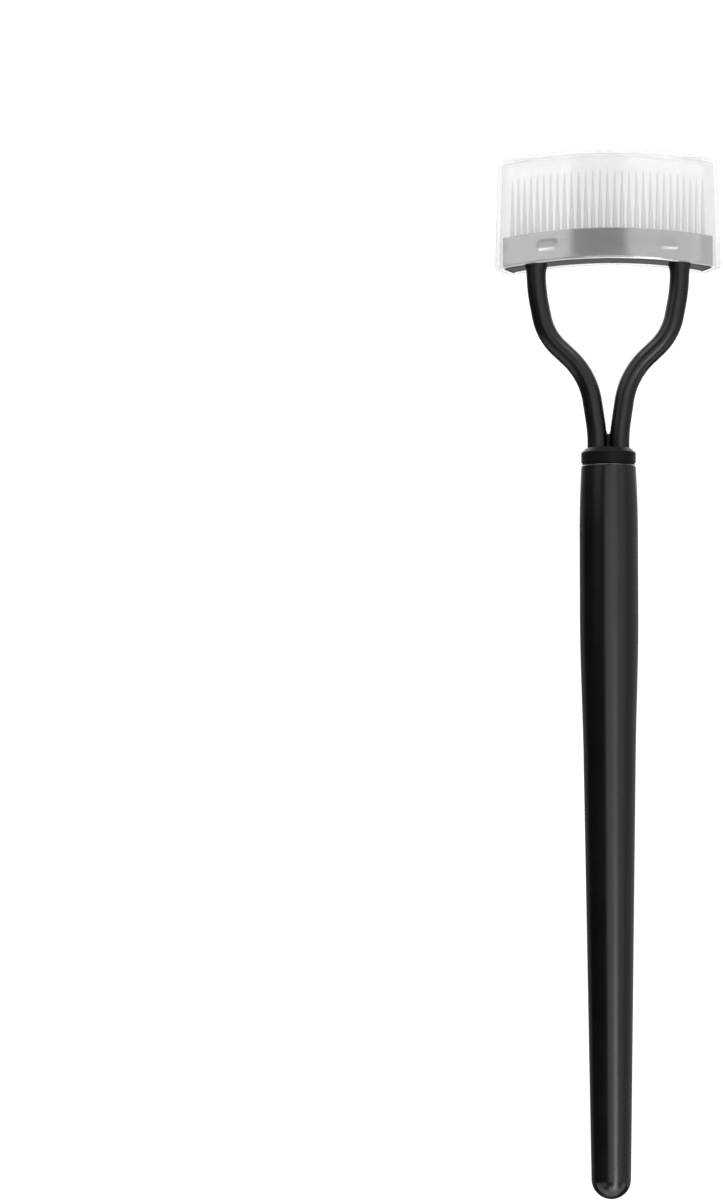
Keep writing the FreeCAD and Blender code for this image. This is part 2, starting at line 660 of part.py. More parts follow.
def makeCap():
    """Clear cap: a thin curved shell, open below, that narrows a little towards its top."""
    body = makeBody("clear_cap")
    rim = makeSketch(body, "rim")
    sector(rim, *capSection(1))
    outside = extrude(body, "Pad", rim, dim + "capHeight", "outside", upward=True)
    volume = body.Shape.Volume
    outside.setExpression("TaperAngle", "-Dimensions.capDraft * 1 deg")
    doc.recompute()
    checkedVolume(body, volume, smaller=True)

    def isOuterEdge(edge):
        return edge.BoundBox.ZMax > size["capHeight"] / 2

    filletEdges(body, "rounding", dim + "capTopRound", isOuterEdge)
    volume = body.Shape.Volume
    mouth = makeSketch(body, "mouth")
    sector(mouth, *capSection(0))
    inside = extrude(body, "Pocket", mouth, "Dimensions.capHeight - Dimensions.capWall", "inside",
                     upward=True)
    volume = checkedVolume(body, volume, smaller=True)
    inside.setExpression("TaperAngle", "-Dimensions.capDraft * 1 deg")
    doc.recompute()
    checkedVolume(body, volume, smaller=False)
    placeInHead(body, zeroLength, arcY, zeroLength)
    return body


# ---------- the whole part ----------

makeHandle()
makeCollar()
makeArm("left_arm", -1)
makeArm("right_arm", 1)
makeChannel()
makeStrip()
for needle in range(1, size["needleCount"] + 1):
    makeNeedle(needle)
makeCap()
doc.recompute()

for thing in doc.Objects:
    if "Invalid" in thing.State or "Error" in thing.State:
        raise RuntimeError("%s failed: %s" % (thing.Label, thing.State))
for body in parts:
    if body.Shape.isNull() or not body.Shape.isValid():
        raise RuntimeError("%s has no valid shape" % body.Label)
    if len(body.Shape.Solids) != 1:
        raise RuntimeError("%s is not one solid" % body.Label)

os.makedirs("parts", exist_ok=True)
for body in parts:
    body.Shape.exportStep(os.path.join("parts", body.Label + ".step"))
    box = body.Shape.optimalBoundingBox()
    print("%-14s volume %9.3f mm3, z %8.2f to %8.2f" % (body.Label, body.Shape.Volume, box.ZMin, box.ZMax))
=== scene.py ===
import bpy
import bmesh
import json
import math
import numpy as np
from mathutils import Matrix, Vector

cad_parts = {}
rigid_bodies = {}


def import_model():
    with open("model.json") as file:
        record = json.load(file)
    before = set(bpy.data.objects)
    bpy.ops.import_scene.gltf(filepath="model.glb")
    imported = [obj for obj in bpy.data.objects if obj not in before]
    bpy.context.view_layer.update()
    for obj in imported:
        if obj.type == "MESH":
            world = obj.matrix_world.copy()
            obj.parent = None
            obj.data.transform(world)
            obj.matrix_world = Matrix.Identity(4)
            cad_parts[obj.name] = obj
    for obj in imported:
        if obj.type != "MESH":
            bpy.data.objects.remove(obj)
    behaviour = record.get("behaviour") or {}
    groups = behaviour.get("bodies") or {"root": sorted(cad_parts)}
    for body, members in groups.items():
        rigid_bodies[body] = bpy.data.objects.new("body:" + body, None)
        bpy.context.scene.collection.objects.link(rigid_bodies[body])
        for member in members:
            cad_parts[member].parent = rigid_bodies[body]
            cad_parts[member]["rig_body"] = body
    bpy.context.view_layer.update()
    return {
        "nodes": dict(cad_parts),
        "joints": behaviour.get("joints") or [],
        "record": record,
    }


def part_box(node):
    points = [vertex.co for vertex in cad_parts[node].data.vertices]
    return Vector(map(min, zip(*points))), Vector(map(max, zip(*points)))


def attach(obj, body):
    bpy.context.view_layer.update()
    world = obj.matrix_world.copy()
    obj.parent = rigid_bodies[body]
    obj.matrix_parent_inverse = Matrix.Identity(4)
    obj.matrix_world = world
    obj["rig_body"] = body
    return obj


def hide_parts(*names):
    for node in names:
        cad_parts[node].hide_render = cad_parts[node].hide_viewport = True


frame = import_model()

mm = 0.001
print("frame loaded:", len(frame["nodes"]), "nodes")

# the head leans back along the line that the cap is pulled off by
pullAxis = np.array(frame["joints"][0]["axis"], float)
lean = math.atan2(pullAxis[1], pullAxis[2])
gripRadius = frame["record"]["mounts"][0]["dims"]["r_mm"]


def toHead(points):
    # row frame to head axes: turn about X until the pull line stands upright
    x, y, z = points[..., 0], points[..., 1], points[..., 2]
    return np.stack([x, y * math.cos(lean) - z * math.sin(lean), y * math.sin(lean) + z * math.cos(lean)], -1)


def fromHead(points):
    # head axes back to the row frame, the same turn the other way
    x, y, z = points[..., 0], points[..., 1], points[..., 2]
    return np.stack([x, y * math.cos(lean) + z * math.sin(lean), z * math.cos(lean) - y * math.sin(lean)], -1)


def nodePoints(node):
    # the corners of a CAD node's mesh, in millimetres
    mesh = frame["nodes"][node].data
    flat = np.zeros(len(mesh.vertices) * 3, np.float32)
    mesh.vertices.foreach_get("co", flat)
    return flat.reshape(-1, 3).astype(float) / mm


# the comb's arc, read from the band and the needles, in millimetres and head axes
comb = {"radius": 19.8, "depth": 2.3, "pitch": 2.4, "needles": 29}
bandBox = toHead(nodePoints("channel"))
bandLow = bandBox.min(0)
bandHigh = bandBox.max(0)
arcCentre = np.array([0.0, bandLow[1] + comb["radius"] + comb["depth"] / 2, bandLow[2]])


def ontoArc(along, out, up):
    # a point given by its run along the arc, its offset outwards and its height above the band's underside
    angle = along / comb["radius"]
    reach = comb["radius"] + out
    points = np.stack([reach * np.sin(angle), -reach * np.cos(angle), up + 0 * angle], -1)
    return fromHead(points + arcCentre)


def gridFaces(rows, columns, wrapRows=False):
    # quads between neighbouring rows and columns of a grid of points; the last column joins the first, and
    # with wrapRows the last row joins the first too
    a, b = np.meshgrid(np.arange(rows if wrapRows else rows - 1), np.arange(columns), indexing="ij")
    nextA = (a + 1) % rows
    nextB = (b + 1) % columns
    quads = [a * columns + b, a * columns + nextB, nextA * columns + nextB, nextA * columns + b]
    return np.stack(quads, -1).reshape(-1, 4)


mergeGap = 0.0004        # millimetres between points that count as one


def endRings(count, ringSize):
    # the first and the last ring of a grid of points, to close its ends with
    ring = np.arange(ringSize)
    return [ring, ring + (count - 1) * ringSize]


def makePiece(name, points, faces, nodes, material, extraFaces=()):
    # puts millimetre points into a mesh, closes its seams, poles and ends, and turns its faces outwards
    mesh = bpy.data.meshes.new(name)
    flat = (points.reshape(-1, 3) * mm).tolist()
    mesh.from_pydata(flat, [], faces.tolist() + [list(map(int, loop)) for loop in extraFaces])
    tidy = bmesh.new()
    tidy.from_mesh(mesh)
    bmesh.ops.remove_doubles(tidy, verts=tidy.verts, dist=mergeGap * mm)
    bmesh.ops.recalc_face_normals(tidy, faces=tidy.faces)
    tidy.to_mesh(mesh)
    tidy.free()
    mesh.shade_smooth()
    mesh.materials.append(material)
    piece = bpy.data.objects.new(name, mesh)
    bpy.context.scene.collection.objects.link(piece)
    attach(piece, frame["nodes"][nodes[0]]["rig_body"])
    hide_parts(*nodes)


longestLead = 0.03       # millimetres


def roundedPath(corners, arcSteps=10):
    # a path through corners (across, up, radius), each corner rounded by the arc that touches both its runs;
    # a point a tenth of the radius before and after each arc, or longestLead if that is less, keeps the flats
    # beside it flat
    spots = np.array([c[:2] for c in corners], float)
    path = [spots[:1]]
    for before, corner, after, item in zip(spots, spots[1:], spots[2:], corners[1:]):
        arrive = (corner - before) / np.linalg.norm(corner - before)
        leave = (after - corner) / np.linalg.norm(after - corner)
        turn = math.acos(np.clip(arrive @ leave, -1, 1))
        inward = (leave - arrive) / np.linalg.norm(leave - arrive)
        forward = (leave + arrive) / np.linalg.norm(leave + arrive)
        centre = corner + inward * item[2] / math.cos(turn / 2)
        share = np.linspace(-0.5, 0.5, arcSteps)[:, None] * turn
        arc = centre - item[2] * (inward * np.cos(share) - forward * np.sin(share))
        lead = min(item[2] * 0.1, longestLead)
        path += [arc[:1] - arrive * lead, arc, arc[-1:] + leave * lead]
    path.append(spots[-1:])
    return np.concatenate(path)


def measured(path):
    # the path's length up to each of its points
    return np.concatenate([[0], np.cumsum(np.linalg.norm(np.diff(path, axis=0), axis=1))])


def divided(path, gaps):
    # the same path with extra points on its long runs, none further apart than the run's gap
    far = measured(path)
    gaps = np.broadcast_to(gaps, len(far) - 1)
    extra = [np.linspace(a, b, int((b - a) / gap) + 2)[1:-1] for a, b, gap in zip(far, far[1:], gaps)]
    places = np.sort(np.concatenate([far] + extra))
    return np.stack([np.interp(places, far, path[:, k]) for k in (0, 1)], -1)


def evenSteps(path, gap):
    # points at even steps along the path
    far = measured(path)
    places = np.linspace(0, far[-1], int(far[-1] / gap) + 2)
    return np.stack([np.interp(places, far, path[:, k]) for k in (0, 1)], -1)


def turned(profile, sides):
    # a profile of (radius, height) carried round the upright axis
    angle = np.linspace(0, 2 * np.pi, sides, endpoint=False)
    x = profile[:, :1] * np.cos(angle)
    y = profile[:, :1] * np.sin(angle)
    return np.stack([x, y, profile[:, 1:] + 0 * x], -1)


class Flow:
    # a socket of a node tree that can be used in sums
    def __init__(self, tree, socket=None):
        self.tree = tree
        self.socket = socket

    def node(self, kind, settings, sockets, out=0):
        made = self.tree.nodes.new(kind)
        for key, value in settings.items():
            setattr(made, key, value)
        for key, value in sockets.items():
            if isinstance(value, Flow):
                self.tree.links.new(value.socket, made.inputs[key])
            else:
                made.inputs[key].default_value = value
        return Flow(self.tree, made.outputs[out])

    def math(self, operation, other, flip=False):
        pair = (other, self) if flip else (self, other)
        return self.node("ShaderNodeMath", {"operation": operation}, dict(enumerate(pair)))

    def __add__(self, other):
        return self.math("ADD", other)

    def __sub__(self, other):
        return self.math("SUBTRACT", other)

    def __rsub__(self, other):
        return self.math("SUBTRACT", other, flip=True)

    def __mul__(self, other):
        return self.math("MULTIPLY", other)

    def __gt__(self, other):
        return self.math("GREATER_THAN", other)

    def __lt__(self, other):
        return self.math("LESS_THAN", other)

    __radd__ = __add__
    __rmul__ = __mul__


def startMaterial(name):
    # an empty material, the flow that builds it and the place on the piece in object coordinates
    material = bpy.data.materials.new(name)
    material.use_nodes = True
    material.node_tree.nodes.clear()
    flow = Flow(material.node_tree)
    place = flow.node("ShaderNodeTexCoord", {}, {}, out="Object")
    return material, flow, place


def finishMaterial(material, shader):
    # joins the shader to the material's output
    output = material.node_tree.nodes.new("ShaderNodeOutputMaterial")
    material.node_tree.links.new(shader.socket, output.inputs["Surface"])
    return material


def grey(flow, low, high, share):
    # a grey that goes from low to high with share
    return flow.node("ShaderNodeMix", {"data_type": "RGBA"},
                     {"Factor": share, 6: (low, low, low, 1), 7: (high, high, high, 1)}, out=2)


def noise(flow, place, scale, detail=3.0, rough=0.5):
    # soft noise from 0 to 1; scale is its number of waves in a metre
    return flow.node("ShaderNodeTexNoise", {},
                     {"Vector": place, "Scale": scale, "Detail": detail, "Roughness": rough}, out="Fac")


def stretched(flow, place, turn, scale):
    # the place turned about X and stretched, for streaks that run along a piece
    return flow.node("ShaderNodeMapping", {}, {"Vector": place, "Rotation": (turn, 0, 0), "Scale": scale})


def bump(flow, height, strength, distance):
    # a normal bent by a height that is worth distance in millimetres
    sockets = {"Height": height, "Strength": strength, "Distance": distance * mm}
    return flow.node("ShaderNodeBump", {}, sockets)


satin = {"tone": 0.001, "spread": 0.12, "cloudScale": 240.0, "grainStrength": 0.35, "grainDepth": 0.006,
         "speckSize": 0.05, "speckScale": 260.0, "speckTone": 0.16, "speckRoughness": 0.3, "patchScale": 90.0,
         "patchFrom": 0.62}
# roughness, scale of the grain, strength of the dust specks, shine
satinKinds = {"satinHandle": (0.26, 2600.0, 1.0, 0.5), "coatedWire": (0.3, 3400.0, 0.4, 0.42),
              "mouldedCollar": (0.45, 4200.0, 0.3, 0.14)}


def makeSatinBlack(name):
    # near-black satin finish: its gloss wavers with a soft noise, a fine grain roughens it, and specks of
    # dust show where a wide noise is high
    roughness, grain, specks, shine = satinKinds[name]
    material, flow, place = startMaterial(name)
    cloud = noise(flow, place, satin["cloudScale"])
    pores = noise(flow, place, grain, 4.0, 0.6)
    cells = flow.node("ShaderNodeTexVoronoi", {"feature": "F1"},
                      {"Vector": place, "Scale": satin["speckScale"], "Randomness": 1.0}, out="Distance")
    patches = noise(flow, place, satin["patchScale"], 1.0)
    dust = (cells < satin["speckSize"]) * (patches > satin["patchFrom"]) * specks
    shader = flow.node("ShaderNodeBsdfPrincipled", {}, {
        "Base Color": grey(flow, satin["tone"], satin["speckTone"], dust),
        "Roughness": roughness + (cloud - 0.5) * satin["spread"] + dust * satin["speckRoughness"],
        "Specular IOR Level": shine,
        "Normal": bump(flow, pores, satin["grainStrength"], satin["grainDepth"]),
    })
    return finishMaterial(material, shader)


bandSteel = {"tone": (0.32, 0.46), "roughness": 0.13, "streakSpread": 0.06, "cloudSpread": 0.04,
             "streakScale": (60.0, 60.0, 5200.0), "cloudScale": 320.0, "bump": (0.25, 0.002)}


def makeBandSteel():
    # rolled sheet: long fine streaks along the band waver its tone, gloss and surface
    material, flow, place = startMaterial("rolledSteel")
    along = stretched(flow, place, lean, bandSteel["streakScale"])
    streaks = noise(flow, along, 1.0, 4.0, 0.6)
    cloud = noise(flow, place, bandSteel["cloudScale"], 2.0)
    waver = streaks * bandSteel["streakSpread"] + cloud * bandSteel["cloudSpread"]
    shader = flow.node("ShaderNodeBsdfPrincipled", {}, {
        "Base Color": grey(flow, *bandSteel["tone"], streaks),
        "Metallic": 1.0,
        "Roughness": waver + bandSteel["roughness"],
        "Normal": bump(flow, streaks, *bandSteel["bump"]),
    })
    return finishMaterial(material, shader)


needleSteel = {"tone": (0.66, 0.74), "metallic": 0.5, "roughness": 0.45, "scratchSpread": 0.12,
               "scratchScale": (9000.0, 9000.0, 300.0), "bump": (0.2, 0.001)}


def makeNeedleSteel():
    # drawn wire ground to a point: fine lengthwise scratches over bright steel
    material, flow, place = startMaterial("groundNeedleSteel")
    along = stretched(flow, place, lean, needleSteel["scratchScale"])
    scratches = noise(flow, along, 1.0, 3.0)
    shader = flow.node("ShaderNodeBsdfPrincipled", {}, {
        "Base Color": grey(flow, *needleSteel["tone"], scratches),
        "Metallic": needleSteel["metallic"],
        "Roughness": needleSteel["roughness"] + scratches * needleSteel["scratchSpread"],
        "Normal": bump(flow, scratches, *needleSteel["bump"]),
    })
    return finishMaterial(material, shader)


strip = {"tone": (0.1, 0.2), "roughness": 0.5, "pebbleSpread": 0.2, "pebbleScale": 3000.0,
         "bump": (0.4, 0.01)}


def makeStripPlastic():
    # moulded filler: dull dark grey with a pebbled skin
    material, flow, place = startMaterial("fillerPlastic")
    pebbles = noise(flow, place, strip["pebbleScale"], 3.0)
    shader = flow.node("ShaderNodeBsdfPrincipled", {}, {
        "Base Color": grey(flow, *strip["tone"], pebbles),
        "Roughness": strip["roughness"] + pebbles * strip["pebbleSpread"],
        "Normal": bump(flow, pebbles, *strip["bump"]),
    })
    return finishMaterial(material, shader)


clear = {"haze": 0.185, "edgeHaze": 0.5, "hazeTone": 0.565, "roughness": 0.14, "index": 1.5,
         "mostMirror": 0.09, "waveScale": (140.0, 140.0, 60.0), "waveSpread": 0.6, "rippleScale": 500.0,
         "bump": (0.1, 0.004)}


def makeClearPlastic():
    # clear moulded plastic under a soft glossy skin: a faint white haze, lit from both sides, that wavers a
    # little, and thickens with the cube of how far the wall is seen edge on
    material, flow, place = startMaterial("milkyClearPlastic")
    wave = noise(flow, stretched(flow, place, lean, clear["waveScale"]), 1.0, 2.0)
    ripple = noise(flow, place, clear["rippleScale"], 2.0)
    skin = bump(flow, ripple, *clear["bump"])
    edgeOn = flow.node("ShaderNodeLayerWeight", {}, {"Blend": 0.5, "Normal": skin}, out="Facing")
    milk = (clear["hazeTone"], clear["hazeTone"], clear["hazeTone"], 1)
    near = flow.node("ShaderNodeBsdfDiffuse", {}, {"Color": milk, "Normal": skin})
    far = flow.node("ShaderNodeBsdfTranslucent", {}, {"Color": milk, "Normal": skin})
    haze = flow.node("ShaderNodeMixShader", {}, {0: 0.5, 1: near, 2: far})
    bare = flow.node("ShaderNodeBsdfTransparent", {}, {"Color": (1, 1, 1, 1)})
    waver = (1 - clear["waveSpread"] / 2) + wave * clear["waveSpread"]
    share = waver * clear["haze"] + edgeOn * edgeOn * edgeOn * clear["edgeHaze"]
    body = flow.node("ShaderNodeMixShader", {}, {0: share, 1: bare, 2: haze})
    gloss = {"Color": (1, 1, 1, 1), "Roughness": clear["roughness"], "Normal": skin}
    gloss = flow.node("ShaderNodeBsdfAnisotropic", {}, gloss)
    mirror = flow.node("ShaderNodeFresnel", {}, {"IOR": clear["index"], "Normal": skin})
    mirror = mirror.math("MINIMUM", clear["mostMirror"])
    return finishMaterial(material, flow.node("ShaderNodeMixShader", {}, {0: mirror, 1: body, 2: gloss}))


handle = {"tailRadius": 2.24, "stemUp": 50.0, "stemRadius": 2.97, "barrelUp": 66.0, "barrelTop": 75.2,
          "mouthRadius": 3.12, "mouthRound": 0.28, "boreRadius": 2.42, "boreDepth": 3.0, "boreRound": 0.05,
          "sides": 128}


def handleProfile():
    # round tail, straight taper, a cubic waist that levels into the straight grip, then a crown that
    # draws in by the square of the height up to the mouth
    low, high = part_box("handle")
    length = (high.z - low.z) / mm
    tail = handle["tailRadius"]
    taper = (handle["stemRadius"] - tail) / (handle["stemUp"] - tail)
    angle = np.linspace(-math.pi / 2, -taper, 24)
    end = np.stack([tail * np.cos(angle), tail + tail * np.sin(angle)], -1)
    up = np.linspace(end[-1, 1], handle["stemUp"], 40)[1:]
    stem = np.stack([end[-1, 0] + taper * (up - end[-1, 1]), up], -1)
    share = np.linspace(0, 1, 30)[1:]
    rise = handle["barrelUp"] - handle["stemUp"]
    eased = 3 * share ** 2 - 2 * share ** 3
    leaving = share ** 3 - 2 * share ** 2 + share
    waist = stem[-1, 0] * (1 - eased) + taper * rise * leaving + gripRadius * eased
    waist = np.stack([waist, handle["stemUp"] + share * rise], -1)
    up = np.linspace(handle["barrelUp"], handle["barrelTop"], 6)[1:]
    barrel = np.stack([gripRadius + 0 * up, up], -1)
    crownRun = length - handle["barrelTop"] - handle["mouthRound"]
    share = np.linspace(0, 1, 16)[1:]
    crown = np.stack([gripRadius - (gripRadius - handle["mouthRadius"]) * share ** 2,
                      handle["barrelTop"] + share * crownRun], -1)
    bore, boreFloor = handle["boreRadius"], length - handle["boreDepth"]
    edge = roundedPath([(crown[-1, 0], crown[-1, 1], 0), (crown[-1, 0], length, handle["mouthRound"]),
                        (bore, length, handle["boreRound"]), (bore, boreFloor, 0)])[1:]
    floor = np.array([[0.0, boreFloor]])
    profile = np.concatenate([end, stem, waist, barrel, crown, edge, floor])
    profile[:, 1] += low.z / mm
    return profile


def makeHandle(material):
    profile = handleProfile()
    points = turned(profile, handle["sides"])
    makePiece("turnedHandle", points, gridFaces(*points.shape[:2]), ["handle"], material)


collar = {"radius": 3.12, "topRadius": 2.6, "shoulder": 1.38, "top": 1.87, "neckRadius": 3.0, "neckUp": 0.22,
          "spigotRadius": 2.4, "foot": 0.01, "spigotRound": 0.1, "neckRound": 0.04, "rimRound": 0.09,
          "shoulderRound": 0.16, "topRound": 0.14, "gap": 0.5, "sides": 96}
saddle = {"width": 0.36, "depth": 1.7, "up": 2.05, "dip": 0.35, "sunk": 0.1, "bulge": 0.8}


def makeCollar(material):
    # a turned collar with softened edges, and a saddle between the wires that dips in its middle
    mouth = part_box("handle")[1].z / mm
    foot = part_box("collar")[0].z / mm - mouth
    low, neckUp, neckRound = collar["foot"], collar["neckUp"], collar["neckRound"]
    path = roundedPath([(0, foot, 0), (collar["spigotRadius"], foot, collar["spigotRound"]),
                        (collar["spigotRadius"], low, low), (collar["neckRadius"], low, neckRound),
                        (collar["neckRadius"], neckUp, neckRound),
                        (collar["radius"], neckUp, collar["rimRound"]),
                        (collar["radius"], collar["shoulder"], collar["shoulderRound"]),
                        (collar["topRadius"], collar["top"], collar["topRound"]), (0, collar["top"], 0)])
    path = divided(path, collar["gap"])
    path[:, 1] += mouth
    points = turned(path, collar["sides"])
    makePiece("forkCollar", points, gridFaces(*points.shape[:2]), ["collar"], material)
    # the saddle: its height is one less the fourth power of the run front to back, times a rise that dips by
    # the square of the run across
    across, front = np.meshgrid(np.linspace(-1, 1, 13), np.linspace(-1, 1, 25), indexing="ij")
    swell = (1 - front ** 4) * (saddle["up"] - saddle["dip"] * (1 - across ** 2))
    x = across * saddle["width"] / 2
    y = np.sign(front) * np.abs(front) ** saddle["bulge"] * saddle["depth"] / 2
    z = mouth + collar["top"] - saddle["sunk"] / 2 + swell
    top = np.stack([x, y, z], -1)
    bottom = np.stack([x, y, 0 * z + mouth + collar["top"] - saddle["sunk"]], -1)
    points = np.concatenate([top, bottom[:, ::-1]], axis=1)
    grid = points.shape[:2]
    makePiece("forkSaddle", points, gridFaces(*grid), ["collar"], material, endRings(*grid))


arm = {"radius": 1.12, "foot": (1.28, -0.25, 0),
       "bends": [(1.28, 1.92, 16.0), (2.26, 8.47, 8.8), (7.15, 13.1, 6.7), (8.2, 18.52, 20.0)],
       "sides": 40, "step": 0.16, "flare": 0.3, "flareRun": 0.32, "intoBand": 0.12, "settleRun": 1.6}


def makeArm(name, node, side, material):
    # a round wire carried along its bent centre line; it flares sideways under the band by an amount that
    # falls off exponentially with the distance below it, and its last rings turn to the lean of the band by
    # the square of how near it they are
    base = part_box("collar")[1].z / mm - saddle["up"]
    bandUp = bandLow[2] / math.cos(lean)
    path = roundedPath([arm["foot"]] + arm["bends"] + [(arm["bends"][-1][0], bandUp - base, 0)], 60)
    path = evenSteps(path, arm["step"])
    tangent = np.gradient(path, axis=0)
    tangent /= np.linalg.norm(tangent, axis=1)[:, None]
    across = np.stack([tangent[:, 1], -tangent[:, 0]], -1)
    angle = np.linspace(0, 2 * np.pi, arm["sides"], endpoint=False)
    below = path[-1, 1] - path[:, 1]
    wide = arm["radius"] + arm["flare"] * np.exp(-below / arm["flareRun"])
    x = path[:, :1] + across[:, :1] * wide[:, None] * np.cos(angle)
    z = path[:, 1:] + across[:, 1:] * wide[:, None] * np.cos(angle)
    y = arm["radius"] * np.sin(angle) + 0 * x
    settled = np.clip(1 - below[:, None] / arm["settleRun"], 0, 1) ** 2
    z = z + base + settled * (arm["intoBand"] - y * math.tan(lean))
    points = np.stack([side * x, y, z], -1)
    grid = points.shape[:2]
    makePiece(name, points, gridFaces(*grid), [node], material, endRings(*grid))


band = {"tall": 3.7, "sheet": 0.35, "fold": 0.36, "innerFold": 0.08, "lip": 0.1, "endRound": 0.07,
        "flatSlack": 0.001, "wallSlack": 0.01, "fine": 0.05, "coarse": 0.3}
crimp = {"angle": 19.4, "up": 2.1, "run": 0.62, "half": 0.74, "steep": 0.4, "depth": 0.23, "topShare": 0.15,
         "outerShare": 0.55, "fineReach": 2.0}


def bandSection():
    # the folded sheet's outline as (outwards, up), with close points on its outer walls only
    half = comb["depth"] / 2
    tall = band["tall"]
    inside = half - band["sheet"]
    lip, fold, innerFold, floor = band["lip"], band["fold"], band["innerFold"], band["sheet"]
    section = roundedPath([(half, tall / 2, 0), (half, 0, fold), (-half, 0, fold), (-half, tall, lip),
                           (-inside, tall, lip), (-inside, floor, innerFold), (inside, floor, innerFold),
                           (inside, tall, lip), (half, tall, lip), (half, tall / 2, 0)], 8)
    onWall = np.abs(np.abs(section[:, 0]) - half) < band["flatSlack"]
    gaps = np.where(onWall[1:] & onWall[:-1], band["fine"], np.inf)
    return divided(section, gaps)[:-1]


def makeBand(material):
    # the section carried round the comb's arc, its ends drawn in by a quarter circle; a crimp sinks the wall
    # by a ramp that deepens downwards and inwards, and ends in a step at its outline, a run with two round
    # ends, that is half straight and half smooth
    section = bandSection()
    half = comb["depth"] / 2
    halfRun = comb["radius"] * math.asin(bandHigh[0] / (comb["radius"] + half))
    middle = math.radians(crimp["angle"]) * comb["radius"]
    edge = halfRun - np.array([1.0, 0.7, 0.3, 0.0]) * band["endRound"]
    near, far = middle - crimp["fineReach"], middle + crimp["fineReach"]
    stops = [(0, near, band["coarse"]), (near, far, band["fine"]), (far, edge[0], band["coarse"])]
    runs = [np.linspace(a, b, int((b - a) / gap), endpoint=False) for a, b, gap in stops]
    along = np.concatenate(runs + [edge])
    along = np.concatenate([-along[:0:-1], along])
    past = np.clip(np.abs(along) - edge[0], 0, band["endRound"])
    draw = band["endRound"] - np.sqrt(band["endRound"] ** 2 - past ** 2)
    tangent = np.roll(section, -1, 0) - np.roll(section, 1, 0)
    outward = np.stack([-tangent[:, 1], tangent[:, 0]], -1) / np.linalg.norm(tangent, axis=1)[:, None]
    out = section[:, 0] + outward[:, 0] * draw[:, None]
    up = section[:, 1] + outward[:, 1] * draw[:, None]
    run = along[:, None] + 0 * out
    for wall in (1, -1):
        onWall = np.abs(section[:, 0] - wall * half) < band["wallSlack"]
        for side in (-1, 1):
            away = (run - side * middle) * side
            level = np.clip(np.abs(away) - crimp["run"], 0, None)
            rise = up - crimp["up"]
            step = np.clip((crimp["half"] - np.hypot(level, rise)) / crimp["steep"], 0, 1)
            down = np.clip(0.5 - rise / (2 * crimp["half"]), 0, 1)
            inwards = np.clip(0.5 - away / (2 * (crimp["half"] + crimp["run"])), 0, 1)
            step = 0.5 * step + 0.5 * step * step * (3 - 2 * step)
            down = crimp["topShare"] + (1 - crimp["topShare"]) * down
            inwards = crimp["outerShare"] + (1 - crimp["outerShare"]) * inwards
            out = out - wall * onWall * crimp["depth"] * step * down * inwards
    points = ontoArc(run, out, up)
    grid = points.shape[:2]
    makePiece("foldedBand", points, gridFaces(*grid), ["channel"], material, endRings(*grid))


needle = {"radius": 0.29, "foot": 1.3, "footRound": 0.05, "shank": 2.6, "shankRound": 6.0, "length": 9.5,
          "tip": 0.08, "tipRound": 0.02, "gap": 1.2, "sides": 20}


def makeNeedles(material):
    # straight shank, long taper and a rounded tip, turned about each needle's own axis on the comb's arc
    radius, tip, length = needle["radius"], needle["tip"], needle["length"]
    profile = [(0, 0, 0), (radius, 0, needle["footRound"]), (radius, needle["shank"], needle["shankRound"]),
               (tip, length - tip, needle["tipRound"]), (tip * 0.95, length, tip * 0.8), (0, length, 0)]
    path = divided(roundedPath(profile, 6), needle["gap"])
    path[:, 1] += needle["foot"]
    shape = turned(path, needle["sides"])
    for number in range(comb["needles"]):
        angle = math.radians((number - (comb["needles"] - 1) / 2) * comb["pitch"])
        seat = arcCentre + comb["radius"] * np.array([math.sin(angle), -math.cos(angle), 0])
        node = "needle_%02d" % (number + 1)
        points = fromHead(shape + seat)
        faces = gridFaces(*points.shape[:2])
        makePiece("ground" + node.capitalize(), points, faces, [node], material)


cap = {"reach": 13.33, "gap": 0.15, "wall": 0.5, "height": 13.2, "draft": 1.2, "corner": 0.85,
       "topRound": 0.8, "innerRound": 0.4, "lip": 0.1}
capSteps = {"side": 150, "corner": 14, "end": 10, "topRound": 12, "lip": 6, "wall": 16, "plate": 8}


def capOutline():
    # a rounded bar as four rows: how much of the half length and half width, and of the corner's radius along
    # and across, goes into each point
    side = np.linspace(-1, 1, capSteps["side"])
    turn = np.linspace(0, np.pi / 2, capSteps["corner"])
    end = np.linspace(1, -1, capSteps["end"])
    pieces = [(side, 0 * side + 1, 0 * side, 0 * side + 1)]
    pieces.append((0 * turn + 1, 0 * turn + 1, np.sin(turn), np.cos(turn)))
    pieces.append((0 * end + 1, end, 0 * end + 1, 0 * end))
    pieces.append((0 * turn + 1, 0 * turn - 1, np.cos(turn), -np.sin(turn)))
    pieces.append((-side, 0 * side - 1, 0 * side, 0 * side - 1))
    pieces.append((0 * turn - 1, 0 * turn - 1, -np.sin(turn), -np.cos(turn)))
    pieces.append((0 * end - 1, -end, 0 * end - 1, 0 * end))
    pieces.append((0 * turn - 1, 0 * turn + 1, -np.cos(turn), np.sin(turn)))
    return [np.concatenate([p[k] for p in pieces]) for k in range(4)]


